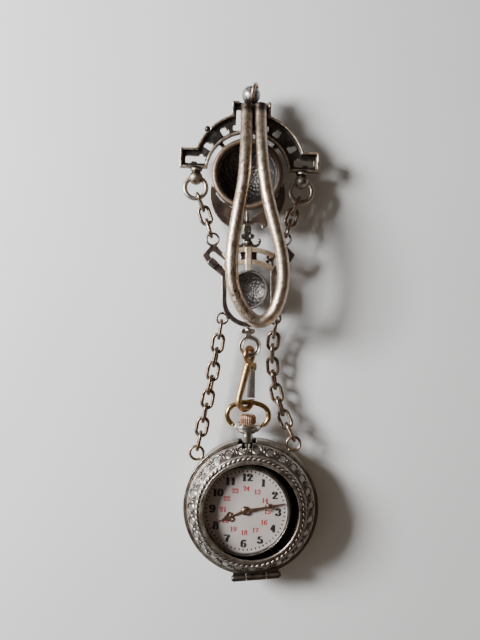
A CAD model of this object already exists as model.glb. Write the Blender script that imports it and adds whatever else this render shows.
# %% [markdown]
# # Chatelaine watch pin
# A chatelaine pin hangs from the belt and carries a pocket watch on two chains and a snap
# hook. It lies on its front here, so the wire belt hook is on top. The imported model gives
# every solid its place, and this script adds the looks. Each step first says what the piece
# is on the real pin and why it is made the way it is.

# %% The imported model
import itertools

import bpy
import numpy as np
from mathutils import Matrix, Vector


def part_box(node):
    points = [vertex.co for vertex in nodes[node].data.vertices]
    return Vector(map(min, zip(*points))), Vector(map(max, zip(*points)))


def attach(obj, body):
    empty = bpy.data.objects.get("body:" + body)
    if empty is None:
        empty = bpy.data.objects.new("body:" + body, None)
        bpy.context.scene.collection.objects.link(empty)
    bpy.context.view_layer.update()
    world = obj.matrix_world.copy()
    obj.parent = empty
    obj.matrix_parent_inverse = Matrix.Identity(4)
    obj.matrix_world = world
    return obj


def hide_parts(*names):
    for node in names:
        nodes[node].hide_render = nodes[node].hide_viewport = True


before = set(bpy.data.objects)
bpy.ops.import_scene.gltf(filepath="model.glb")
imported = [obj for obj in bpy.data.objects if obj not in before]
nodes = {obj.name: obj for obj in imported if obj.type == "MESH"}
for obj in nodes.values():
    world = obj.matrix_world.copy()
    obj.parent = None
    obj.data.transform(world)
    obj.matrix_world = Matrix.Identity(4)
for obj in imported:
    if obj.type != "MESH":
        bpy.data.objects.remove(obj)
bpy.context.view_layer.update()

# %% [markdown]
# ## Sizes
# Blender works in metres and the pin is drawn in millimetres, so points are worked out in
# millimetres and scaled once, when a mesh is made. The solids lie with the middle of the
# whole at the origin. SHIFT takes a point of the drawing there.

# %% Millimetres and places
MM = 0.001
SHIFT = np.array([0.235, 0.405, 0.0])
WATCH = np.array([-1.4, -47.5, 0.0]) + SHIFT
WATCH_TURN = np.radians(-1.7)
HOLDER = np.array([0.05, -47.0, 0.0]) + SHIFT
HOLDER_TURN = np.radians(4.5)
DIAL_TOP = 8.85
rng = np.random.default_rng(7)


def turned(points, angle, centre):
    """Points turned by angle about Z and then moved by centre: x' = x cos a - y sin a,
    y' = x sin a + y cos a."""
    c, s = np.cos(angle), np.sin(angle)
    x, y, z = np.moveaxis(np.asarray(points, float), -1, 0)
    return np.stack([x * c - y * s, x * s + y * c, z], -1) + centre


# %% [markdown]
# ## Camera
# The photo looks straight down at the pin. The camera stands 168 mm above the surface, which
# gives the photo's perspective: the raised hook looks larger than the plaque under it. Its
# focal length is given in pixels of the picture.

# %% Camera
CAMERA_AT = np.array([-2.796, 2.957, 167.8]) + SHIFT
SENSOR_MM = 36.0
FOCAL_PX, PICTURE_PX = 600.0, 640.0
scene = bpy.context.scene
camera_data = bpy.data.cameras.new("camera")
camera_data.sensor_width = SENSOR_MM
camera_data.lens = SENSOR_MM * FOCAL_PX / PICTURE_PX
camera_data.clip_start = 0.01
camera = bpy.data.objects.new("camera", camera_data)
camera.location = CAMERA_AT * MM
scene.collection.objects.link(camera)
scene.camera = camera
print("camera height, mm:", CAMERA_AT[2])

# %% [markdown]
# ## Light
# A window to the left throws the photo's soft shadows to the right. A weak warm light from the
# other side stands for what the room gives back.

# %% Lights


def area_light(name, place, aim, size, power, colour):
    """A square area light at place, turned so that it looks at aim; both in millimetres."""
    data = bpy.data.lights.new(name, "AREA")
    data.size = size * MM
    data.energy = power
    data.color = colour
    light = bpy.data.objects.new(name, data)
    light.location = np.array(place) * MM
    direction = Vector(np.array(aim, float) - np.array(place, float))
    light.rotation_euler = direction.to_track_quat("-Z", "Y").to_euler()
    scene.collection.objects.link(light)
    return light


WINDOW = np.array([-0.80, 0.25, 0.545])
WINDOW_FAR = 420
key_light = area_light("key_light", place=WINDOW * WINDOW_FAR, aim=(0, 0, 0), size=140,
                       power=4.9, colour=(0.985, 0.995, 1.0))
side_light = area_light("side_light", place=(220, -260, 180), aim=(0, -10, 0), size=160,
                        power=0.1, colour=(1.0, 0.8, 0.6))
print("lights:", key_light.name, side_light.name)

# %% [markdown]
# ## Helpers for surfaces
# Most new pieces are a grid of points worked out with whole arrays. The rows of the grid
# run along the piece and the columns run round it. One function turns such a grid into
# faces, and closes it on itself where the piece is a ring or a tube. Turned bodies come from
# their profile, and smooth noise makes skins uneven.

# %% Grids into meshes
NOISE_WAVES = 14


def placed(name, mesh, material, smooth=True):
    """A finished mesh as an object at the origin, all in one material."""
    mesh.polygons.foreach_set("use_smooth", np.full(len(mesh.polygons), smooth))
    mesh.materials.clear()
    mesh.materials.append(material)
    mesh.update()
    piece = bpy.data.objects.new(name, mesh)
    scene.collection.objects.link(piece)
    return piece


def new_object(name, points, faces, material, smooth=True):
    """A mesh object from points in millimetres, an array (n, 3), and faces with corner
    numbers, an array (m, corners) or a list of lists."""
    mesh = bpy.data.meshes.new(name)
    faces = faces.tolist() if isinstance(faces, np.ndarray) else faces
    mesh.from_pydata((np.asarray(points, float) * MM).tolist(), [], faces)
    return placed(name, mesh, material, smooth)


def grid_faces(rows, columns, round_rows=False, round_columns=False):
    """Corner numbers of a grid's squares: square (i, j) joins points (i, j), (i + 1, j),
    (i + 1, j + 1) and (i, j + 1), and a closed direction wraps to its start."""
    i = np.arange(rows if round_rows else rows - 1)[:, None]
    j = np.arange(columns if round_columns else columns - 1)[None, :]
    i1, j1 = (i + 1) % rows, (j + 1) % columns
    corners = [i * columns + j, i1 * columns + j, i1 * columns + j1, i * columns + j1]
    return np.stack([np.broadcast_to(c, (i.shape[0], j.shape[1])).ravel() for c in corners], 1)


def capped_faces(rows, columns):
    """Faces of a closed tube, as a list: the grid's squares, and at either end a fan of
    triangles to one more point, which is numbered after the grid's own points."""
    squares = grid_faces(rows, columns, round_columns=True).tolist()
    turn = np.arange(columns)
    after = (turn + 1) % columns
    last = columns * (rows - 1)
    start = np.stack([turn, after, np.full(columns, rows * columns)], 1).tolist()
    end = np.stack([last + after, last + turn, np.full(columns, rows * columns + 1)], 1).tolist()
    return squares + start + end


def lathed(along, out, axes, turns):
    """Points of a turned body, an array (n, 3): circles of radius out, each at its height
    along the last of the three axes and in the plane of the first two."""
    first, second, last = np.array(axes, float)
    angle = np.linspace(0, 2 * np.pi, turns, endpoint=False)[None, :, None]
    ring = np.cos(angle) * first + np.sin(angle) * second
    points = np.reshape(along, (-1, 1, 1)) * last + np.reshape(out, (-1, 1, 1)) * ring
    return points.reshape(-1, 3)


def noise(points, size, seed):
    """Smooth noise between about -1 and 1 at points, an array (..., 3) in millimetres: the
    mean of sines along random directions, with waves about as long as size."""
    random = np.random.default_rng(seed)
    waves = random.normal(0, 1, (NOISE_WAVES, 3))
    rate = random.uniform(0.7, 1.4, NOISE_WAVES) * 2 * np.pi / size
    waves *= (rate / np.linalg.norm(waves, axis=1))[:, None]
    phases = random.uniform(0, 2 * np.pi, NOISE_WAVES)
    return np.sin(np.asarray(points) @ waves.T + phases).mean(-1) * 2.0


print("helpers ready")

# %% [markdown]
# ## Shader helpers
# Each material is put together from a few small steps: a colour ramp, noise on the Object
# coordinates, a mix of two colours and a product of two masks.

# %% Shader helpers


def ramp(tree, source, stops):
    """A colour ramp on source; stops are (position, value or colour) pairs in order."""
    node = tree.nodes.new("ShaderNodeValToRGB")
    elements = node.color_ramp.elements
    elements[0].position, elements[1].position = stops[0][0], stops[-1][0]
    for position, colour in stops[1:-1]:
        elements.new(position)
    for element, (position, colour) in zip(elements, stops):
        element.color = (colour,) * 3 + (1,) if np.isscalar(colour) else (*colour, 1)
    tree.links.new(source, node.inputs[0])
    return node.outputs[0]


def object_place(tree):
    """The Object coordinates, in metres."""
    return tree.nodes.new("ShaderNodeTexCoord").outputs["Object"]


def noise_node(tree, place, size_mm, detail=3.0, rough=0.55):
    """Noise with lumps about size_mm across, on the coordinates in place."""
    node = tree.nodes.new("ShaderNodeTexNoise")
    node.inputs["Scale"].default_value = 1.0 / (size_mm * MM)
    node.inputs["Detail"].default_value = detail
    node.inputs["Roughness"].default_value = rough
    tree.links.new(place, node.inputs["Vector"])
    return node.outputs["Fac"]


def mixed(tree, mask, under, over):
    """Colour under where mask is 0 and over where it is 1."""
    node = tree.nodes.new("ShaderNodeMix")
    node.data_type = "RGBA"
    tree.links.new(mask, node.inputs["Factor"])
    for socket, colour in zip(node.inputs[6:8], (under, over)):
        if isinstance(colour, bpy.types.NodeSocket):
            tree.links.new(colour, socket)
        else:
            socket.default_value = (*colour, 1)
    return node.outputs[2]


def computed(tree, kind, operation, first, second):
    """A maths node of one kind on first and second, which are sockets or constants."""
    node = tree.nodes.new(kind)
    node.operation = operation
    for socket, value in zip(node.inputs, (first, second)):
        if isinstance(value, bpy.types.NodeSocket):
            tree.links.new(value, socket)
        else:
            socket.default_value = value
    return node


def times(tree, first, second, operation="MULTIPLY"):
    """First and second put together by operation, kept between 0 and 1."""
    node = computed(tree, "ShaderNodeMath", operation, first, second)
    node.use_clamp = True
    return node.outputs[0]


def vectors(tree, first, second, operation):
    """The maths node that puts two vectors together by operation."""
    return computed(tree, "ShaderNodeVectorMath", operation, first, second)


print("shader helpers ready")

# %% [markdown]
# ### Masks
# A mask is a number from 0 to 1 that says where a second colour goes. It finds the rubbed
# edges, or it knows a place on the piece by its distance from a point or along a direction.

# %% Masks


def edge_mask(tree, width_mm, start, full):
    """1 on edges rounded over width_mm and 0 on flats: one minus the dot product of the
    rounded normal and the true normal, stretched between start and full. Also gives the
    node with the rounded normal."""
    bevel = tree.nodes.new("ShaderNodeBevel")
    bevel.samples = 4
    bevel.inputs["Radius"].default_value = width_mm * MM
    true_normal = tree.nodes.new("ShaderNodeNewGeometry").outputs["Normal"]
    dot = vectors(tree, bevel.outputs[0], true_normal, "DOT_PRODUCT")
    bend = times(tree, 1.0, dot.outputs["Value"], "SUBTRACT")
    return ramp(tree, bend, [(start, 0.0), (full, 1.0)]), bevel


def between(tree, value, start, full):
    """0 where value is below start, 1 where it is above full, and smooth between."""
    node = tree.nodes.new("ShaderNodeMapRange")
    node.interpolation_type = "SMOOTHSTEP"
    node.inputs["From Min"].default_value = start
    node.inputs["From Max"].default_value = full
    tree.links.new(value, node.inputs["Value"])
    return node.outputs["Result"]


def beyond(tree, centre, start, full, flat=True):
    """0 nearer than start to centre and 1 farther than full, in millimetres; where flat is
    true the distance is to the upright line through centre."""
    place = vectors(tree, object_place(tree), (1, 1, 0 if flat else 1), "MULTIPLY").outputs[0]
    middle = (centre[0] * MM, centre[1] * MM, 0 if flat else centre[2] * MM)
    away = vectors(tree, place, middle, "DISTANCE")
    return between(tree, away.outputs["Value"], start * MM, full * MM)


def within(tree, centre, full, end, flat=True):
    """1 nearer than full to centre and 0 farther than end, in millimetres."""
    return times(tree, 1.0, beyond(tree, centre, full, end, flat), "SUBTRACT")


def ring_mask(tree, centre, inner, outer):
    """1 in the ring round centre between the pairs inner and outer, over whose two radii the
    mask fades in and out."""
    return times(tree, beyond(tree, centre, *inner), beyond(tree, centre, *outer), "SUBTRACT")


def towards(tree, direction, start, full):
    """0 where the place's reach along direction is below start and 1 above full, in mm."""
    reach = vectors(tree, object_place(tree), direction, "DOT_PRODUCT")
    return between(tree, reach.outputs["Value"], start * MM, full * MM)


def stained(material, mask, colour, share=1.0):
    """Lays colour over a finished metal where mask is 1, by up to share."""
    tree = material.node_tree
    base = tree.nodes["Principled BSDF"].inputs["Base Color"]
    under = base.links[0].from_socket
    tree.links.new(mixed(tree, times(tree, mask, share), under, colour), base)


print("masks ready")

# %% [markdown]
# ## Sky
# Metal shows what stands around it, so the sky is a gradient: bright towards the window, dark
# and warm on the other side. That contrast is most of what makes metal look like metal, and it
# turns the shadows brown. A pale band along the horizon stands for the walls.

# %% Sky
SKY_STRENGTH = 0.36
SKY_STOPS = (
    # 0 away from the window and 1 towards it, colour of the room there
    (0.10, (0.115, 0.06, 0.026)), (0.65, (0.17, 0.115, 0.07)),
    (0.86, (0.42, 0.39, 0.35)), (1.0, (1.0, 1.02, 1.06)))
WALL_COLOUR = (1.13, 1.06, 0.97)
WALL_FADES, WALL_FULL = 0.30, 0.02

scene.world = bpy.data.worlds.new("pale_room")
scene.world.use_nodes = True
sky = scene.world.node_tree
sky.nodes.clear()
sky_place = sky.nodes.new("ShaderNodeTexCoord").outputs["Generated"]
facing = vectors(sky, sky_place, 0.5 * WINDOW, "DOT_PRODUCT").outputs["Value"]
facing = computed(sky, "ShaderNodeMath", "ADD", facing, 0.5).outputs[0]
sky_height = sky.nodes.new("ShaderNodeSeparateXYZ")
sky.links.new(sky_place, sky_height.inputs[0])
walls = between(sky, sky_height.outputs["Z"], WALL_FADES, WALL_FULL)
sky_light = sky.nodes.new("ShaderNodeBackground")
sky_light.inputs["Strength"].default_value = SKY_STRENGTH
sky_tone = mixed(sky, walls, ramp(sky, facing, SKY_STOPS), WALL_COLOUR)
sky.links.new(sky_tone, sky_light.inputs["Color"])
sky_out = sky.nodes.new("ShaderNodeOutputWorld")
sky.links.new(sky_light.outputs[0], sky_out.inputs["Surface"])
print("sky:", len(SKY_STOPS), "tones and the walls")

# %% [markdown]
# ## Worn metal
# Old plated brass is one surface with three looks: the plate itself, dark tarnish in every
# recess, and bare bright metal on the edges that get rubbed. One recipe makes them all. The
# recess mask is ambient occlusion over about a millimetre, and the edge mask compares the
# true normal with one that is rounded over a tenth of a millimetre, or reads how sharply a
# casting's own mesh bends. Patches of noise keep both from being even.

# %% Worn metal material
RECESS_MM, EDGE_MM, SPECK_MM = 1.4, 0.16, 0.32


def worn_metal(name, plate, tarnish, bare, tint, patch=3.0, rough=(0.25, 0.5), recess=0.75,
               edges=0.8, pits=0.35, bump=0.04, grime=0.45):
    """Worn plated metal. plate, tarnish and bare are colours; tint is a second plate colour
    in patches about patch mm across. recess and edges say how strong the two masks are,
    pits how dark the specks are, and grime how much of the plate is tarnished. rough is the
    range of the roughness, and bump the height of the skin's unevenness in mm."""
    material = bpy.data.materials.new(name)
    material.use_nodes = True
    tree = material.node_tree
    shader = tree.nodes["Principled BSDF"]
    place = object_place(tree)
    patches = ramp(tree, noise_node(tree, place, patch, 4.0), [(0.42, 0.0), (0.6, 1.0)])
    colour = mixed(tree, patches, plate, tint)
    film = noise_node(tree, place, patch * 0.45, 6.0, 0.65)
    film = ramp(tree, film, [(0.4, 0.0), (0.75, 1.0)])
    colour = mixed(tree, times(tree, film, grime), colour, tarnish)
    hollow = tree.nodes.new("ShaderNodeAmbientOcclusion")
    hollow.samples = 6
    hollow.only_local = True
    hollow.inputs["Distance"].default_value = RECESS_MM * MM
    shade = ramp(tree, hollow.outputs["AO"], [(0.45, 1.0), (0.92, 0.0)])
    colour = mixed(tree, times(tree, shade, recess), colour, tarnish)
    edge, bevel = edge_mask(tree, EDGE_MM, 0.02, 0.16)
    sharp = tree.nodes.new("ShaderNodeAttribute")
    sharp.attribute_name = "sharp"
    edge = times(tree, edge, sharp.outputs["Fac"], "MAXIMUM")
    uneven = ramp(tree, noise_node(tree, place, 1.1, 4.0), [(0.3, 0.25), (0.62, 1.0)])
    rubbed = times(tree, edge, uneven)
    colour = mixed(tree, times(tree, rubbed, edges), colour, bare)
    specks = ramp(tree, noise_node(tree, place, SPECK_MM, 5.0, 0.7), [(0.56, 0.0), (0.72, 1.0)])
    colour = mixed(tree, times(tree, specks, pits), colour, tarnish)
    tree.links.new(colour, shader.inputs["Base Color"])
    shader.inputs["Metallic"].default_value = 1.0
    gloss = noise_node(tree, place, patch * 0.6, 5.0)
    gloss = ramp(tree, gloss, [(0.3, rough[0]), (0.7, rough[1])])
    tree.links.new(gloss, shader.inputs["Roughness"])
    relief = tree.nodes.new("ShaderNodeBump")
    relief.inputs["Strength"].default_value = 0.6
    relief.inputs["Distance"].default_value = bump * MM
    tree.links.new(noise_node(tree, place, 0.55, 5.0, 0.6), relief.inputs["Height"])
    tree.links.new(bevel.outputs[0], relief.inputs["Normal"])
    tree.links.new(relief.outputs[0], shader.inputs["Normal"])
    return material


def give(material, *names):
    """Puts a material on CAD nodes by name."""
    for name in names:
        nodes[name].data.materials.clear()
        nodes[name].data.materials.append(material)


def toned(name, size_mm, tones, roughness, detail=4.0):
    """A plain material whose colour wanders between tones, pairs of a noise value and a
    colour, in patches about size_mm across."""
    material = bpy.data.materials.new(name)
    material.use_nodes = True
    tree = material.node_tree
    shader = tree.nodes["Principled BSDF"]
    tone = ramp(tree, noise_node(tree, object_place(tree), size_mm, detail), tones)
    tree.links.new(tone, shader.inputs["Base Color"])
    shader.inputs["Roughness"].default_value = roughness
    return material


print("material recipes ready")

# %% [markdown]
# ### Metals of the pin
# The frames are dark and purple-brown, the hook and the chains have lost much of their plate,
# and the snap hook, the bow and the bars are yellower brass. Colours are given as the plate,
# its tarnish, and the bare metal under it.

# %% Metals
links = sorted(n for n in nodes if "_link_" in n)
dark_plate = worn_metal(
    "dark_antique_plate", (0.075, 0.066, 0.062), (0.014, 0.011, 0.011), (0.72, 0.58, 0.45),
    tint=(0.13, 0.118, 0.11), recess=0.95, grime=0.7, edges=1.0, rough=(0.3, 0.5))
purple_plate = worn_metal(
    "purple_brown_plate", (0.105, 0.083, 0.078), (0.02, 0.014, 0.014), (0.58, 0.50, 0.45),
    tint=(0.15, 0.112, 0.10), recess=0.9, grime=0.6, pits=0.5)
brown_plate = worn_metal(
    "smooth_brown_plate", (0.10, 0.076, 0.062), (0.032, 0.022, 0.018), (0.42, 0.34, 0.28),
    tint=(0.145, 0.108, 0.088), rough=(0.3, 0.5), patch=5.0, pits=0.25, grime=0.4)
dish_silver = worn_metal(
    "dark_repousse_silver", (0.075, 0.067, 0.063), (0.012, 0.010, 0.009), (0.45, 0.43, 0.41),
    tint=(0.14, 0.13, 0.125), recess=0.95, grime=0.75, patch=1.2, pits=0.6, bump=0.07,
    rough=(0.42, 0.62), edges=0.6)
antique_silver = worn_metal(
    "antique_silver", (0.50, 0.46, 0.41), (0.05, 0.036, 0.03), (0.86, 0.82, 0.77),
    tint=(0.36, 0.29, 0.23), recess=0.95, grime=0.5)
chain_silver = worn_metal(
    "chain_silver", (0.30, 0.245, 0.20), (0.03, 0.02, 0.015), (0.86, 0.78, 0.68),
    tint=(0.25, 0.16, 0.10), patch=1.6, recess=0.95, grime=0.6, rough=(0.2, 0.42))
polished_silver = worn_metal(
    "polished_silver", (0.62, 0.59, 0.55), (0.12, 0.09, 0.075), (0.92, 0.90, 0.86),
    tint=(0.62, 0.59, 0.55), rough=(0.14, 0.28), recess=0.6, pits=0.15, grime=0.2)
pale_wire = worn_metal(
    "pale_worn_wire", (0.66, 0.56, 0.45), (0.11, 0.065, 0.05), (0.92, 0.86, 0.76),
    tint=(0.52, 0.40, 0.30), patch=2.4, pits=0.8, grime=0.45, rough=(0.3, 0.46), bump=0.07)
brass = worn_metal(
    "worn_brass", (0.56, 0.38, 0.19), (0.11, 0.06, 0.035), (0.86, 0.70, 0.46),
    tint=(0.42, 0.27, 0.14), patch=2.0)
golden = worn_metal(
    "golden_brass", (0.50, 0.34, 0.16), (0.10, 0.06, 0.025), (0.90, 0.74, 0.46),
    tint=(0.38, 0.25, 0.11), patch=2.6, rough=(0.16, 0.3), grime=0.35)
bar_brass = worn_metal(
    "pale_bar_brass", (0.64, 0.53, 0.40), (0.16, 0.11, 0.08), (0.84, 0.76, 0.64),
    tint=(0.54, 0.38, 0.25), patch=2.2, rough=(0.45, 0.62), grime=0.4, bump=0.07)
chased_silver = worn_metal(
    "chased_silver", (0.46, 0.42, 0.385), (0.05, 0.036, 0.032), (0.88, 0.85, 0.80),
    tint=(0.33, 0.285, 0.26), recess=0.85, edges=0.5, pits=0.2, grime=0.5)
copper = worn_metal(
    "worn_copper", (0.44, 0.22, 0.13), (0.09, 0.04, 0.026), (0.80, 0.55, 0.40),
    tint=(0.46, 0.29, 0.19), patch=1.8)
ring_bronze = worn_metal(
    "ring_bronze", (0.50, 0.33, 0.215), (0.09, 0.05, 0.03), (0.84, 0.70, 0.55),
    tint=(0.52, 0.40, 0.29), patch=1.2)
steel = worn_metal(
    "dark_steel", (0.30, 0.29, 0.27), (0.04, 0.034, 0.03), (0.66, 0.64, 0.60),
    tint=(0.28, 0.25, 0.22), patch=1.2, rough=(0.25, 0.4))
give(dark_plate, "upper_frame", "scroll_link")
give(purple_plate, "lower_frame")
give(brown_plate, "crescent_plate")
give(dish_silver, "medallion", "rosette")
give(antique_silver, "left_arm_ring", "right_arm_ring", "drop_eye", "holder_shell", "holder_lid",
     "watch_bezel")
give(chain_silver, *links)
give(polished_silver, "watch_case")
give(pale_wire, "belt_hook")
give(bar_brass, "cross_bars")
give(brass, "snap_hook", "hinge_pin")
give(golden, "watch_bow")
give(ring_bronze, "top_ring")
give(copper, "hour_hand", "minute_hand", "crown")
give(steel, "snap_gate", "gate_pin")
print("worn metals:", len(bpy.data.materials))

# %% [markdown]
# ### Where the tarnish lies
# Tarnish isn't spread evenly over a real piece: rubbed balls and rings come out bright beside
# a black frame, and a deep gap goes black. Each stain is a second colour laid over a metal by
# a mask that knows its place on the piece. The side of the holder that the light doesn't
# reach, its lee side, is browner.

# %% Stains by place


def middle(node):
    """The middle of a node's box, in millimetres."""
    low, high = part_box(node)
    return (np.array(low) + np.array(high)) / 2 / MM


# Places, and pairs of distances in millimetres between which a mask fades
LOOPS = np.array([[-14.44, -32.71, 6.5], [11.61, -30.25, 6.5]]) + SHIFT
LOOP_FADE = (2.1, 2.4)
HINGE_FADE = (64.15 - SHIFT[1], 64.6 - SHIFT[1])
SNAP_LOOP_FADE = (-8.0, -6.2)
DISH_RING = ((7.9, 8.2), (10.5, 11.0))
SMALL_DISH_RIM = ((4.55, 4.8), (6.0, 6.4))
CASE_GAP = ((12.0, 12.35), (14.3, 14.7))
LEE_FADE, LEE_END = (26, 40), (20.0, 21.0)
FINIAL = middle("top_ring") - [0.9, 0.35, 1.5]
KNOBS = [middle(side + "_arm_ring") + [0, 2.4, 0] for side in ("left", "right")]
WIRE_ENDS_FADE = (56.8 + SHIFT[1], 58.9 + SHIFT[1])
DEEP_PIT = np.array([-4.06, 10.3, 0]) + SHIFT
DEEP_PIT_FADE = (0.22, 0.42)
dish = middle("medallion")
small_dish = middle("rosette")

tree = antique_silver.node_tree
for loop in LOOPS:
    stained(antique_silver, within(tree, loop, *LOOP_FADE), (0.27, 0.18, 0.12), 0.85)
stained(antique_silver, towards(tree, (0, -1, 0), *HINGE_FADE), (0.045, 0.043, 0.037), 0.88)
for metal in (antique_silver, chased_silver):
    tree = metal.node_tree
    lee = towards(tree, (0.85, -0.53, 0), *LEE_FADE)
    lee = times(tree, lee, beyond(tree, HOLDER, *LEE_END), "SUBTRACT")
    stained(metal, lee, (0.13, 0.095, 0.075), 0.75)
hollow = chased_silver.node_tree.nodes.new("ShaderNodeAttribute")
hollow.attribute_name = "hollow"
stained(chased_silver, hollow.outputs["Fac"], (0.028, 0.022, 0.019), 0.95)

tree = brass.node_tree
stained(brass, towards(tree, (0, 1, 0), *SNAP_LOOP_FADE), (0.36, 0.19, 0.10), 0.75)

tree = dish_silver.node_tree
ring = ring_mask(tree, dish, *DISH_RING)
stained(dish_silver, ring, (0.26, 0.185, 0.135), 0.85)
silver_side = times(tree, ring, towards(tree, (1, -0.2, 0), dish[0] - 3, dish[0] + 4))
stained(dish_silver, silver_side, (0.50, 0.48, 0.46), 0.8)
stained(dish_silver, ring_mask(tree, small_dish, *SMALL_DISH_RIM), (0.34, 0.33, 0.32), 0.7)

tree = polished_silver.node_tree
stained(polished_silver, ring_mask(tree, WATCH, *CASE_GAP), (0.05, 0.043, 0.038), 0.95)

tree = dark_plate.node_tree
mottle = ramp(tree, noise_node(tree, object_place(tree), 0.9, 4.0), [(0.42, 0.25), (0.58, 1.0)])
for place, reach, colour in ((FINIAL, 2.5, (0.46, 0.46, 0.46)),
                             (KNOBS[0], 1.9, (0.40, 0.31, 0.24)),
                             (KNOBS[1], 1.9, (0.46, 0.42, 0.37))):
    ball = within(tree, place, reach, reach + 0.3, flat=False)
    stained(dark_plate, times(tree, ball, mottle), colour, 0.85)

tree = pale_wire.node_tree
stained(pale_wire, towards(tree, (0, 1, 0), *WIRE_ENDS_FADE), (0.045, 0.036, 0.031), 0.9)
stained(pale_wire, within(tree, DEEP_PIT, *DEEP_PIT_FADE), (0.015, 0.011, 0.01), 0.95)
lengthened = tree.nodes.new("ShaderNodeMapping")
lengthened.inputs["Scale"].default_value = (1, 0.28, 1)
tree.links.new(object_place(tree), lengthened.inputs["Vector"])
streaks = noise_node(tree, lengthened.outputs[0], 0.42, 5.0, 0.7)
streaks = ramp(tree, streaks, [(0.5, 0.0), (0.64, 1.0)])
left_side = times(tree, 1.0, towards(tree, (1, 0, 0), -3.0, 3.0), "SUBTRACT")
left_more = times(tree, left_side, 0.45, "ADD")
stained(pale_wire, times(tree, streaks, left_more), (0.13, 0.08, 0.06), 0.9)
print("stains at", dish.round(1), small_dish.round(1))

# %% [markdown]
# ## Enamel and glass
# The dial is white enamel that has aged to a pale pinkish grey: a glossy surface whose colour
# barely changes. The crystal is thin and flat, so it only adds reflections. It is nearly
# transparent and keeps a smooth gloss.

# %% Enamel and glass materials
enamel = toned("aged_white_enamel", 7.0, [(0.3, (0.58, 0.50, 0.47)), (0.7, (0.66, 0.59, 0.56))],
               roughness=0.22)
give(enamel, "dial")

glass = bpy.data.materials.new("thin_crystal")
glass.use_nodes = True
glass_tree = glass.node_tree
glass_shader = glass_tree.nodes["Principled BSDF"]
glass_gloss = noise_node(glass_tree, object_place(glass_tree), 6.0)
glass_gloss = ramp(glass_tree, glass_gloss, [(0.3, 0.02), (0.7, 0.06)])
glass_tree.links.new(glass_gloss, glass_shader.inputs["Roughness"])
glass_shader.inputs["Base Color"].default_value = (0.03, 0.03, 0.03, 1)
glass_shader.inputs["Alpha"].default_value = 0.1
give(glass, "crystal")
print("dial and crystal done")

# %% [markdown]
# ## Belt hook
# The hook is one thick wire, bent into a hairpin and soldered to the top arm. Years on belts
# have worn its plate, and it is full of small pits. A round section is carried along a
# smooth curve through the knots of the drawing, and each pit presses the surface in.

# %% Belt hook
HOOK = np.array([
    # y, x of the left leg, x of the right leg, height of the wire's middle
    [60.1, -0.95, 2.65, 8.55], [56.5, -0.95, 2.65, 9.1], [50.7, -1.0, 2.75, 11.6],
    [44.9, -1.35, 2.95, 13.4], [39.5, -1.65, 3.5, 14.3], [35.6, -2.3, 4.1, 14.7],
    [32.3, -2.95, 4.75, 14.9], [27.2, -3.8, 6.1, 15.0], [23.3, -4.55, 7.1, 15.0],
    [19.8, -4.85, 7.85, 14.9], [16.0, -4.95, 8.3, 14.7], [12.2, -4.65, 8.2, 14.4],
    [9.4, -3.9, 7.65, 14.15], [6.6, -2.5, 6.75, 13.9], [4.1, -0.75, 5.4, 13.7]])
HOOK_TOE = np.array([[2.2, 2.0, 13.5]])
HOOK_R, HOOK_SWELL, SWELL_LENGTH = 1.6, 0.1, 20.0
HOOK_SIDES, CURVE_STEPS, EASINGS = 48, 26, 260
PITS, PITS_AT_ONCE = 420, 60


def smooth_curve(knots, steps):
    """Points of the Catmull-Rom curve through knots, steps to a stretch: each stretch is the
    cubic through its two knots whose slope at a knot is half the way between its neighbours."""
    k = np.concatenate([knots[:1], knots, knots[-1:]])
    a, b, c, d = k[:-3, None], k[1:-2, None], k[2:-1, None], k[3:, None]
    t = (np.arange(steps) / steps)[None, :, None]
    part = 0.5 * (2 * b + (c - a) * t + (2 * a - 5 * b + 4 * c - d) * t**2
                  + (3 * b - 3 * c + d - a) * t**3)
    return np.concatenate([part.reshape(-1, 3), knots[-1:]])


def swept(path, radius, sides):
    """Points of a round tube and their directions out of it, arrays (along, round, 3): at
    each point of the path, a circle in the plane across it, from the direction to its side
    and the direction up."""
    ahead = np.gradient(path, axis=0)
    ahead /= np.linalg.norm(ahead, axis=1, keepdims=True)
    side = np.cross(ahead, [0, 0, 1.0])
    side /= np.linalg.norm(side, axis=1, keepdims=True)
    up = np.cross(side, ahead)
    turn = np.linspace(0, 2 * np.pi, sides, endpoint=False)[None, :, None]
    ring = np.cos(turn) * side[:, None] + np.sin(turn) * up[:, None]
    return path[:, None] + radius[:, None, None] * ring, ring


print("curve helpers ready")

# %% [markdown]
# ### The hook's wire
# The curve through the knots is eased many times, because the real wire bends evenly. The wire
# swells a little towards the toe. Two waves of noise wear it flat, and the pits press it in.

# %% Wire of the hook
left_leg = HOOK[:, [1, 0, 3]]
right_leg = HOOK[::-1][:, [2, 0, 3]]
hook_path = smooth_curve(np.concatenate([left_leg, HOOK_TOE, right_leg]) + SHIFT, CURVE_STEPS)
for _ in range(EASINGS):
    hook_path[1:-1] = (hook_path[:-2] + 2 * hook_path[1:-1] + hook_path[2:]) / 4
from_ends = (hook_path[0, 1] - hook_path[:, 1]) / SWELL_LENGTH
hook_radius = HOOK_R + HOOK_SWELL * np.clip(from_ends, 0, 1)
hook_skin, hook_out = swept(hook_path, hook_radius, HOOK_SIDES)
hook_points = hook_skin.reshape(-1, 3)

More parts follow.
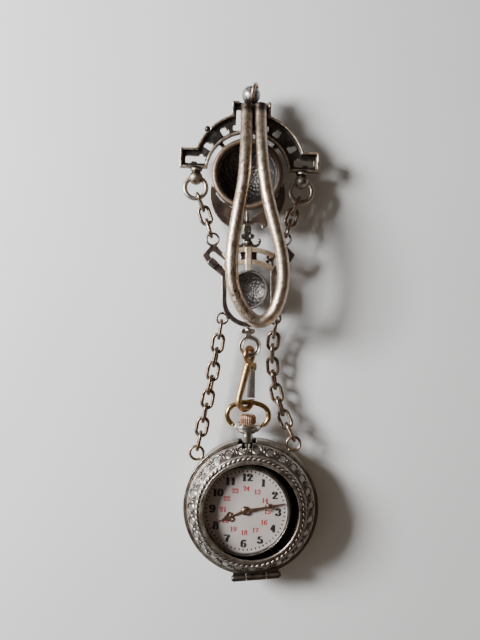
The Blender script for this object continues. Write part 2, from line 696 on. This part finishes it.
pit_at = hook_points[rng.integers(0, len(hook_points), PITS)]
pit_r = rng.uniform(0.12, 0.42, PITS)
pit_depth = pit_r * rng.uniform(0.12, 0.3, PITS)
pressed = np.zeros(len(hook_points))
for start in range(0, PITS, PITS_AT_ONCE):
    part = slice(start, start + PITS_AT_ONCE)
    away = np.linalg.norm(hook_points[:, None] - pit_at[None, part], axis=2) / pit_r[part]
    pressed = np.maximum(pressed, (pit_depth[part] * np.exp(-(away**2) * 1.5)).max(1))
worn_flat = 0.02 * (noise(hook_points, 9.0, 3) - 0.6) + 0.006 * noise(hook_points, 1.2, 4)
hook_lift = np.minimum(worn_flat, 0.0) - pressed
hook_points = hook_points + hook_out.reshape(-1, 3) * hook_lift[:, None]

hook_points = np.concatenate([hook_points, hook_path[[0, -1]]])
hook_faces = capped_faces(len(hook_path), HOOK_SIDES)
hook_wire = new_object("belt_hook_wire", hook_points, hook_faces, pale_wire)
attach(hook_wire, "pin_and_holder")
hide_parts("belt_hook")
print("belt hook:", len(hook_wire.data.polygons), "faces, deepest pit, mm:",
      round(float(pressed.max()), 3))

# %% [markdown]
# ## Numerals on the dial
# The dial has bold black hours with thick uprights and thin crossings, and small red numbers
# from 13 to 24 inside them. Each numeral is drawn with a broad pen: strokes follow lines and
# parts of ellipses, and the pen is thick where it goes up or down and thin where it goes
# across. So the letterform comes from one rule instead of an outline.

# %% Pen strokes of the numerals


def oval(cx, cy, rx, ry, start, stop, count=18):
    """Points on an ellipse round (cx, cy) from angle start to angle stop, in degrees."""
    a = np.radians(np.linspace(start, stop, count))
    return np.stack([cx + rx * np.cos(a), cy + ry * np.sin(a)], 1)


def line(*points):
    """Points along straight lines between the given points."""
    p = np.array(points, float)
    t = np.linspace(0, 1, 6)[:, None]
    return np.concatenate([p[i] + t * (p[i + 1] - p[i]) for i in range(len(p) - 1)])


# Strokes of each numeral in a box about 0.62 wide and 1 high
STROKES = {
    "0": [oval(0.31, 0.5, 0.25, 0.46, 0, 360, 36)],
    "1": [line((0.34, 0.03), (0.34, 0.97)), line((0.12, 0.80), (0.34, 0.95)),
          line((0.10, 0.02), (0.58, 0.02))],
    "2": [oval(0.31, 0.72, 0.24, 0.25, 170, -35), line((0.50, 0.57), (0.08, 0.06)),
          line((0.06, 0.06), (0.58, 0.06)), line((0.56, 0.04), (0.58, 0.22)),
          oval(0.13, 0.72, 0.05, 0.06, 0, 360)],
    "3": [oval(0.28, 0.75, 0.23, 0.22, 150, -90), oval(0.28, 0.28, 0.27, 0.26, 90, -150),
          oval(0.12, 0.80, 0.05, 0.05, 0, 360), oval(0.10, 0.20, 0.05, 0.05, 0, 360)],
    "4": [line((0.42, 0.97), (0.04, 0.30)), line((0.03, 0.28), (0.62, 0.28)),
          line((0.42, 0.02), (0.42, 0.97)), line((0.26, 0.02), (0.58, 0.02))],
    "5": [line((0.14, 0.93), (0.54, 0.93)), line((0.14, 0.95), (0.10, 0.52)),
          oval(0.28, 0.32, 0.26, 0.29, 130, -150), oval(0.10, 0.18, 0.05, 0.06, 0, 360)],
    "6": [oval(0.40, 0.48, 0.33, 0.48, 80, 200), oval(0.32, 0.30, 0.24, 0.28, 0, 360, 30),
          oval(0.48, 0.88, 0.05, 0.05, 0, 360)],
    "7": [line((0.06, 0.92), (0.58, 0.92)), line((0.58, 0.94), (0.30, 0.40)),
          line((0.30, 0.45), (0.26, 0.02)), line((0.06, 0.97), (0.06, 0.78))],
    "8": [oval(0.31, 0.75, 0.20, 0.21, 0, 360, 30), oval(0.31, 0.27, 0.26, 0.26, 0, 360, 30)],
}
STROKES["9"] = [np.array([0.62, 1.0]) - stroke for stroke in STROKES["6"]]
NUMERAL_WIDTH, NUMERAL_PITCH = 0.62, 0.72


def inked(stroke, thick, thin):
    """A ribbon along a stroke, an array (along, 2, 2): its half width grows from thin to
    thick with the share of the stroke's direction that is upright."""
    ahead = np.gradient(stroke, axis=0)
    ahead /= np.maximum(np.linalg.norm(ahead, axis=1, keepdims=True), 1e-9)
    across = np.stack([-ahead[:, 1], ahead[:, 0]], 1)
    half = (thin + (thick - thin) * np.abs(ahead[:, 1]) ** 1.6)[:, None]
    return np.stack([stroke - across * half, stroke + across * half], 1)


DIAL_TURN = WATCH_TURN - np.radians(1.4)
INK_LEVEL, INK_STEP, INK_STEPS = 0.008, 0.0004, 12
strokes_inked = itertools.count(1)


def print_numerals(name, numbers, ring_r, height, thick, thin, colour):
    """Numbers on the dial as one flat mesh: number k of twelve stands upright with its middle
    on the ring, at 30 degrees times k from the top, clockwise. Each stroke lies a hair above
    or below the last, so that no two cross in one plane."""
    points, faces, count = [], [], 0
    for hour, text in numbers:
        a = np.radians(30 * hour)
        on_ring = ring_r * np.array([np.sin(a), np.cos(a)])
        width = NUMERAL_WIDTH + NUMERAL_PITCH * (len(text) - 1)
        for place, digit in enumerate(text):
            for stroke in STROKES[digit]:
                ribbon = inked(stroke, thick, thin) - [width / 2 - NUMERAL_PITCH * place, 0.5]
                flat = on_ring + ribbon.reshape(-1, 2) * height
                level = INK_LEVEL + INK_STEP * (next(strokes_inked) % INK_STEPS)
                z = np.full((len(flat), 1), DIAL_TOP + level)
                points.append(np.concatenate([flat, z], 1))
                faces.append(grid_faces(len(stroke), 2) + count)
                count += len(flat)
    points, faces = np.concatenate(points), np.concatenate(faces)
    across = points[faces[:, 2]] - points[faces[:, 0]]
    over = points[faces[:, 3]] - points[faces[:, 1]]
    looks_down = across[:, 0] * over[:, 1] < across[:, 1] * over[:, 0]
    faces[looks_down] = faces[looks_down][:, ::-1]
    piece = new_object(name, turned(points, DIAL_TURN, WATCH), faces, colour, smooth=False)
    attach(piece, "pin_and_holder")
    return piece


def ink(name, colour):
    """Printing ink fired into the enamel: a flat colour with a slightly uneven tone."""
    pale = tuple(min(1.0, c * 1.6 + 0.02) for c in colour)
    return toned(name, 0.5, [(0.35, colour), (0.75, pale)], roughness=0.4)


black_ink = ink("black_dial_ink", (0.012, 0.011, 0.012))
red_ink = ink("red_dial_ink", (0.36, 0.018, 0.014))
twelve = range(1, 13)
hours = print_numerals("hour_numerals", [(h, str(h)) for h in twelve], ring_r=8.75,
                       height=2.0, thick=0.19, thin=0.055, colour=black_ink)
late = print_numerals("late_hour_numerals", [(h, str(h + 12)) for h in twelve], ring_r=5.85,
                      height=1.25, thick=0.13, thin=0.06, colour=red_ink)
print("numeral faces:", len(hours.data.polygons), len(late.data.polygons))

# %% [markdown]
# ### Minute marks
# A ring of printed dots counts the minutes: longer ones, with a round one at each hour.

# %% Minute marks
MINUTE_R, MARK_R, HOUR_MARK_R, MARK_STRETCH, MARK_SIDES = 10.42, 0.17, 0.25, 1.9, 10
MARK_LEVEL = DIAL_TOP + 0.009
minute = np.arange(60)[:, None]
at_hour = minute % 5 == 0
mark_r = np.where(at_hour, HOUR_MARK_R, MARK_R)
stretch = np.where(at_hour, 1.0, MARK_STRETCH)
turn = np.radians(6 * minute)
ring_turn = np.linspace(0, 2 * np.pi, MARK_SIDES, endpoint=False)[None, :]
local_x = mark_r * np.cos(ring_turn)
local_y = mark_r * stretch * np.sin(ring_turn) + MINUTE_R
marks = np.stack([local_x * np.cos(turn) + local_y * np.sin(turn),
                  local_y * np.cos(turn) - local_x * np.sin(turn),
                  np.full_like(local_x, MARK_LEVEL)], -1)
marks = turned(marks.reshape(-1, 3), DIAL_TURN, WATCH)
marks_faces = minute * MARK_SIDES + np.arange(MARK_SIDES)[None, :]
minute_marks = new_object("minute_marks", marks, marks_faces, black_ink, smooth=False)
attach(minute_marks, "pin_and_holder")
print("minute marks:", len(minute_marks.data.polygons))

# %% [markdown]
# ## Boss of the hands
# Both hands turn on a small copper boss that is domed and polished by the hand setter. The
# dome is a quarter wave turned round the hands' axis: height times cos of a right angle times
# the share of the radius.

# %% Domed boss
BOSS_TOP_R, CRYSTAL_UNDERSIDE, CRYSTAL_GAP, BOSS_SINK = 1.1, 9.8, 0.06, 0.02
DOME_ROWS, DOME_SIDES = 8, 40
hand_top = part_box("minute_hand")[1][2] / MM
dome_foot = hand_top - BOSS_SINK
dome_high = CRYSTAL_UNDERSIDE - CRYSTAL_GAP - hand_top
share = np.linspace(0, 1, DOME_ROWS + 1)[1:]
dome = lathed(dome_foot + dome_high * np.cos(share * np.pi / 2), BOSS_TOP_R * share, np.eye(3),
              DOME_SIDES)
dome = np.concatenate([dome, [[0, 0, dome_foot + dome_high], [0, 0, dome_foot]]])
hand_boss = new_object("hand_boss", dome + WATCH, capped_faces(DOME_ROWS, DOME_SIDES), copper)
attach(hand_boss, "minute")
print("boss of the hands:", round(dome_high, 2), "mm high")

# %% [markdown]
# ## Ornament on the lid
# The lid slopes up from its edge to the polished rim round the opening. Its slope carries a
# row of round bosses with leafy arcs between them, and a twisted rope runs inside. Both are
# cast in low relief, a third of a millimetre high. The slope is unrolled to a flat strip, the
# relief is a sum of ridges and domes there, and the strip is wrapped back on the cone.

# %% Bosses and leaves
BOSSES = 27
LID_FOOT = np.array([17.1, 8.35])
LID_SHOULDER = np.array([13.6, 12.1])
BAND_FROM, BAND_TO, BAND_MIDDLE_R = 16.98, 14.35, 15.6
BAND_FADE, BAND_SINK, BAND_LIFT = 0.15, 0.03, 0.12
AROUND, UP_THE_SLOPE = 1782, 42
BOSS_R, BOSS_UP, BOSS_GAP, LEAF_ROOT = 1.05, 2.2, 3.62, 2.35
LEANS = (0.0, 0.72, 1.35)
NOTCH_HALF, NOTCH_FROM = 1.4, 16.2


def bump_at(distance, width):
    """A smooth hill: the exponential of minus distance over width, squared."""
    return np.exp(-((distance / width) ** 2))


def step_at(value, width):
    """A smooth step from 0 to 1 as value goes through 0, about width wide."""
    return 1 / (1 + np.exp(-value / width))


def lid_ornament(x, y):
    """Height of the relief in millimetres, and how deep in a chased line each place is, at x
    along the strip from a boss's middle and y up the slope from the lid's edge. A flat boss
    has a line and a ridge round its outer half, and three leaves fan out between bosses."""
    away = np.hypot(x, y - BOSS_UP)
    outer_half = step_at(BOSS_UP + 0.3 - y, 0.25)
    raised = 0.15 * step_at(BOSS_R - away, 0.04)
    raised = np.maximum(raised, 0.13 * bump_at(away - 1.50, 0.12) * outer_half)
    cut = bump_at(away - 1.26, 0.14) * (0.45 + 0.55 * outer_half)
    cut = np.maximum(cut, 0.75 * step_at(away - 1.2, 0.05) * step_at(y - BOSS_UP + 0.3, 0.2))
    side, out = BOSS_GAP / 2 - np.abs(x), LEAF_ROOT - y
    for lean in LEANS:
        along = side * np.sin(lean) + out * np.cos(lean)
        across = side * np.cos(lean) - out * np.sin(lean)
        leaf = step_at(along - 0.2, 0.06) * step_at(1.55 - 0.25 * lean - along, 0.08)
        raised = np.maximum(raised, 0.26 * bump_at(across, 0.14) * leaf)
        cut = np.maximum(cut * (1 - 0.8 * leaf * bump_at(across, 0.2)),
                         bump_at(np.abs(across) - 0.29, 0.11) * leaf)
    return raised - 0.09 * cut, np.clip(cut, 0, 1)


print("bosses:", BOSSES)

# %% [markdown]
# ### Strip round the lid
# The strip's points run round the cone and up its slope. Its two edges sink a little below the
# plain cone, so that no rim shows, and it leaves out the notch for the watch's stem.

# %% Strip of ornament
theta = np.linspace(0, 2 * np.pi, AROUND, endpoint=False)[:, None]
ring_r = np.linspace(BAND_FROM, BAND_TO, UP_THE_SLOPE)[None, :]
slope = (LID_SHOULDER - LID_FOOT) / np.linalg.norm(LID_SHOULDER - LID_FOOT)
outward = np.array([slope[1], -slope[0]])
step = 2 * np.pi / BOSSES
along = ((theta + step / 2) % step - step / 2) * BAND_MIDDLE_R
up_slope = (LID_FOOT[0] - ring_r) / -slope[0]
from_edge = np.minimum(up_slope - up_slope.min(), up_slope.max() - up_slope)
edge_fade = np.clip(from_edge / BAND_FADE, 0, 1)
height, chased = lid_ornament(along + 0 * ring_r, up_slope + 0 * theta)
height = (height + BAND_LIFT) * edge_fade - BAND_SINK
radius = ring_r + outward[0] * height
level = LID_FOOT[1] + up_slope * slope[1] + outward[1] * height
band = np.stack([radius * np.cos(theta), radius * np.sin(theta), level], -1).reshape(-1, 3)
band = turned(band, HOLDER_TURN, HOLDER)


def clear_of_stem(points, faces, half_width, start):
    """The faces that stay when the notch for the watch's stem is cut: a face goes where its
    middle is within half_width of the watch's axis and farther up than start."""
    x, y, z = turned(points[faces].mean(1) - WATCH, -WATCH_TURN, 0).T
    return faces[~((np.abs(x) < half_width) & (y > start))]


def mark_hollows(piece, depth):
    """Keeps, on each point of a mesh, how deep in a dark hollow it is, from 0 to 1."""
    hollows = piece.data.attributes.new("hollow", "FLOAT", "POINT")
    hollows.data.foreach_set("value", np.clip(depth, 0, 1).ravel())


band_faces = grid_faces(AROUND, UP_THE_SLOPE, round_rows=True)
band_faces = clear_of_stem(band, band_faces, NOTCH_HALF, NOTCH_FROM)
lid_band = new_object("lid_ornament", band, band_faces, chased_silver)
mark_hollows(lid_band, chased * edge_fade)
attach(lid_band, "lid")
print("lid ornament:", len(lid_band.data.polygons), "faces, height, mm:",
      round(float(height.max()), 2))

# %% [markdown]
# ### Twisted rope
# The rope is a ring whose section has two lobes that wind round it. Its thickness is a thin
# core plus a lobe times the 0.7th power of the size of a cosine: that of the angle round the
# wire minus half the strands times the angle round the ring.

# %% Twisted rope
ROPE_R, ROPE_Z, STRANDS, ROPE_SIDES = 13.95, 11.88, 64, 16
ROPE_THIN, ROPE_LOBE = 0.36, 0.24
ROPE_DARK, ROPE_BRIGHTENING = 1.35, 2.1
rope_count = STRANDS * ROPE_SIDES
rope_theta = np.linspace(0, 2 * np.pi, rope_count, endpoint=False)[:, None]
rope_phi = np.linspace(0, 2 * np.pi, ROPE_SIDES, endpoint=False)[None, :]
twist = np.abs(np.cos((2 * rope_phi - STRANDS * rope_theta) / 2))
rope_wire = ROPE_THIN + ROPE_LOBE * twist**0.7
rope_ring = ROPE_R + rope_wire * np.cos(rope_phi)
rope_points = np.stack([rope_ring * np.cos(rope_theta), rope_ring * np.sin(rope_theta),
                        ROPE_Z + rope_wire * np.sin(rope_phi)], -1).reshape(-1, 3)
rope_points = turned(rope_points, HOLDER_TURN, HOLDER)
rope_faces = grid_faces(rope_count, ROPE_SIDES, True, True)
rope = new_object("lid_rope", rope_points, rope_faces, chased_silver)
mark_hollows(rope, ROPE_DARK - ROPE_BRIGHTENING * twist)
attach(rope, "lid")
print("rope:", len(rope.data.polygons), "faces")

# %% [markdown]
# ## Cast pieces
# The plaque's pieces are castings. Their real edges are rounded by the mould and by wear, and
# their skin is never quite flat. A merged copy of the solid is remeshed to small even faces
# and smoothed a little, which rounds every edge. Then the skin is moved along its normals by
# smooth noise and pressed in at random pits, and the copy stands in for the solid. How far
# each point stands out of its neighbours is kept for the worn metal.

# %% Worn edges of a casting
SHARP_RINGS, SHARP_FROM, SHARP_RANGE = 3, 0.03, 0.06


def mark_edges(mesh, points, normals, size):
    """Keeps how sharply each point of an even mesh stands out: its height over the mean of
    its neighbours, along the normal, as a share of the face size, evened over three rings."""
    ends = np.zeros(len(mesh.edges) * 2, int)
    mesh.edges.foreach_get("vertices", ends)
    a, b = ends.reshape(-1, 2).T
    count = len(points)
    degree = np.maximum(np.bincount(ends, minlength=count), 1)

    def neighbours(values):
        return (np.bincount(a, values[b], count) + np.bincount(b, values[a], count)) / degree

    mean = np.stack([neighbours(points[:, k]) for k in range(3)], 1)
    sharp = ((points - mean) * normals).sum(1) / size
    for _ in range(SHARP_RINGS):
        sharp = neighbours(sharp)
    kept = mesh.attributes.new("sharp", "FLOAT", "POINT")
    kept.data.foreach_set("value", np.clip((sharp - SHARP_FROM) / SHARP_RANGE, 0, 1))


print("edge marks ready")

# %% A casting from a solid
WELD_MM, DENT_RADII, DENT_DEPTH = 0.0005, (0.15, 0.5), 0.22
SKIN_WAVES = ((0.6, 1.3, 11), (0.4, 0.55, 12))  # share, size in mm and seed of each noise


def casting(node, voxel, rounds, material, skin=0.02, pits=0, relief=None):
    """A softened copy of a CAD node: voxel is the face size in mm, rounds the smoothing
    steps, skin the height of the noise, pits how many dents there are, and relief an own
    function from points (n, 3) and normals (n, 3) in mm to the height of further relief."""
    copy = bpy.data.objects.new(node + "_copy", nodes[node].data.copy())
    scene.collection.objects.link(copy)
    weld = copy.modifiers.new("weld", "WELD")
    weld.merge_threshold = WELD_MM * MM
    remesh = copy.modifiers.new("remesh", "REMESH")
    remesh.mode = "VOXEL"
    remesh.voxel_size = voxel * MM
    soften = copy.modifiers.new("soften", "SMOOTH")
    soften.factor = 0.5
    soften.iterations = rounds
    shaped = copy.evaluated_get(bpy.context.evaluated_depsgraph_get())
    mesh = bpy.data.meshes.new_from_object(shaped)
    mesh.name = node + "_casting"
    softened = copy.data
    bpy.data.objects.remove(copy)
    bpy.data.meshes.remove(softened)
    count = len(mesh.vertices)
    points, normals = np.zeros((2, count * 3))
    mesh.vertices.foreach_get("co", points)
    mesh.vertices.foreach_get("normal", normals)
    points, normals = points.reshape(-1, 3) / MM, normals.reshape(-1, 3)
    mark_edges(mesh, points, normals, voxel)
    lift = skin * sum(share * noise(points, size, seed) for share, size, seed in SKIN_WAVES)
    if pits:
        centre = points[rng.integers(0, count, pits)]
        for c, r in zip(centre, rng.uniform(*DENT_RADII, pits)):
            lift -= DENT_DEPTH * r * bump_at(np.linalg.norm(points - c, axis=1), r)
    if relief is not None:
        lift += relief(points, normals)
    mesh.vertices.foreach_set("co", ((points + normals * lift[:, None]) * MM).ravel())
    piece = placed(node + "_casting", mesh, material)
    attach(piece, "pin_and_holder")
    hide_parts(node)
    print(node, "casting:", len(mesh.polygons), "faces")
    return piece


casting("upper_frame", 0.15, 2, dark_plate, pits=60)
casting("lower_frame", 0.13, 2, purple_plate, pits=40)
casting("crescent_plate", 0.13, 2, brown_plate, skin=0.012)
casting("scroll_link", 0.09, 2, dark_plate)
casting("cross_bars", 0.11, 2, bar_brass, skin=0.012)
casting("drop_eye", 0.09, 2, antique_silver, skin=0.012)
casting("snap_hook", 0.11, 2, brass, skin=0.012)
casting("watch_bow", 0.10, 3, golden, skin=0.006)

# %% [markdown]
# ### Stud on the rim
# A small round-headed stud sticks out of the band's rim at the upper left. It is a ball on a
# short neck: one profile, turned round its own axis, which points outwards from the band.

# %% Stud
STUD = np.array([-11.45, 54.15, 6.9]) + SHIFT
STUD_R, STUD_NECK, NECK_SHARE, NECK_FROM = 0.85, 0.5, 0.45, 0.8
STUD_ROWS, STUD_SIDES = 15, 24
STUD_OUT, STUD_ACROSS = np.array([-0.72, 0.69, 0.0]), np.array([0.69, 0.72, 0.0])
phi = np.linspace(0.02, np.pi - 0.6, STUD_ROWS)
stud_along = np.append(STUD_R * np.cos(phi), -STUD_R * NECK_FROM - STUD_NECK)
stud_r = np.append(STUD_R * np.sin(phi), STUD_R * NECK_SHARE)
stud = lathed(stud_along, stud_r, [STUD_ACROSS, [0, 0, -1], STUD_OUT], STUD_SIDES)
stud = np.concatenate([stud, [STUD_R * STUD_OUT, stud_along[-1] * STUD_OUT]]) + STUD
rim_stud = new_object("rim_stud", stud, capped_faces(STUD_ROWS + 1, STUD_SIDES), dark_plate)
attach(rim_stud, "pin_and_holder")
print("stud at", STUD.round(2))

# %% [markdown]
# ### Pressed ornament seen from behind
# The medallion and the rosette are thin discs whose flower was pressed up from the front, so
# their back shows it hollow. The pattern is a product of two waves, one round the disc and one
# across it, and only its hills are kept.

# %% Discs with pressed ornament


def pressed_flower(centre, reach, petals, row, high):
    """The relief of a pressed disc: high times the positive part of cos(petals * angle +
    radius / row) * cos(2 pi radius / row), for skin that looks up within reach of centre."""

    def relief(points, normals):
        x, y = points[:, 0] - centre[0], points[:, 1] - centre[1]
        radius, angle = np.hypot(x, y), np.arctan2(y, x)
        waves = np.cos(petals * angle + radius / row) * np.cos(2 * np.pi * radius / row)
        inside = step_at(reach - radius, 0.15)
        return high * np.maximum(waves, 0) * inside * (normals[:, 2] > 0.3)

    return relief


casting("medallion", 0.13, 2, dish_silver,
        relief=pressed_flower(dish, reach=7.6, petals=16, row=1.7, high=0.14))
casting("rosette", 0.10, 2, dish_silver,
        relief=pressed_flower(small_dish, reach=4.4, petals=12, row=1.3, high=0.09))

# %% [markdown]
# ## Floor
# The pin lies on a plain pale surface. It is a slightly rough sheet, so the soft shadows stay
# soft and no reflection shows.

# %% Floor
FLOOR_HALF, FLOOR_Z = 900, -0.02
paper = toned("pale_surface", 60.0, [(0.3, (0.70, 0.70, 0.70)), (0.7, (0.73, 0.73, 0.73))],
              roughness=0.9, detail=2.0)
floor_corners = [[x * FLOOR_HALF, y * FLOOR_HALF, FLOOR_Z]
                 for x, y in ((-1, -1), (1, -1), (1, 1), (-1, 1))]
floor = new_object("floor", floor_corners, [[0, 1, 2, 3]], paper, smooth=False)
